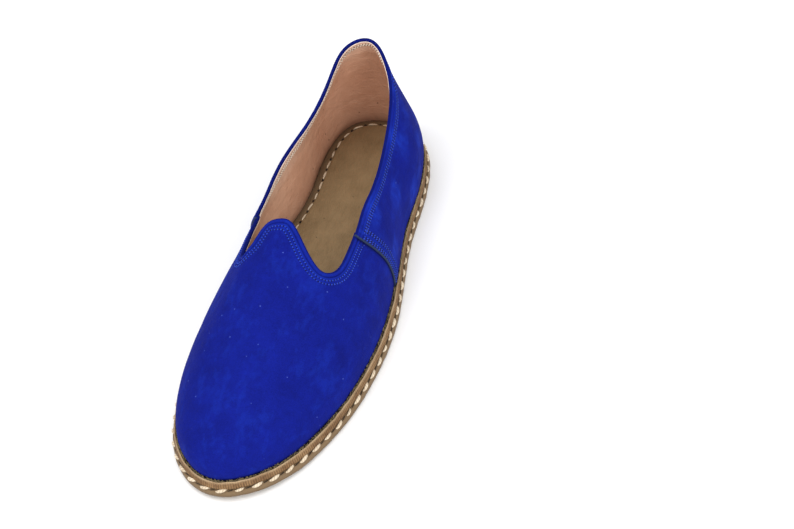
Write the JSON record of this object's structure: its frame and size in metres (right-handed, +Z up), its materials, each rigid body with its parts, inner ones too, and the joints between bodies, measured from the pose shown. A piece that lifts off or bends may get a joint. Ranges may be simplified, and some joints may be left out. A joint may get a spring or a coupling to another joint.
{
  "type": "turkish yemeni shoe",
  "caption": "Left slip-on yemeni shoe: low nubuck upper with a tabbed vamp, overlapping quarters and a high heel peak, on a flat hand-stitched leather sole.",
  "frame": {"origin": "on the floor, below the middle of the shoe's outline, so the outsole's flat underside is at z = 0", "axes": "+Y from heel to toe, +X to the medial side of this left shoe, +Z up"},
  "size_m": [0.102, 0.2906, 0.0821],
  "materials": {
    "sole_leather": "plain vegetable-tanned leather, matt",
    "welt_leather": "cut edge of brown leather with cream hand stitches",
    "insole_leather": "smooth olive-tan leather, stitched near its rim",
    "blue_nubuck": "royal blue nubuck with a soft nap, lined with smooth pink-tan leather"
  },
  "bodies": {
    "root": {"outsole": "sole_leather", "welt": "welt_leather", "insole": "insole_leather", "upper": "blue_nubuck"}
  },
  "joints": []
}
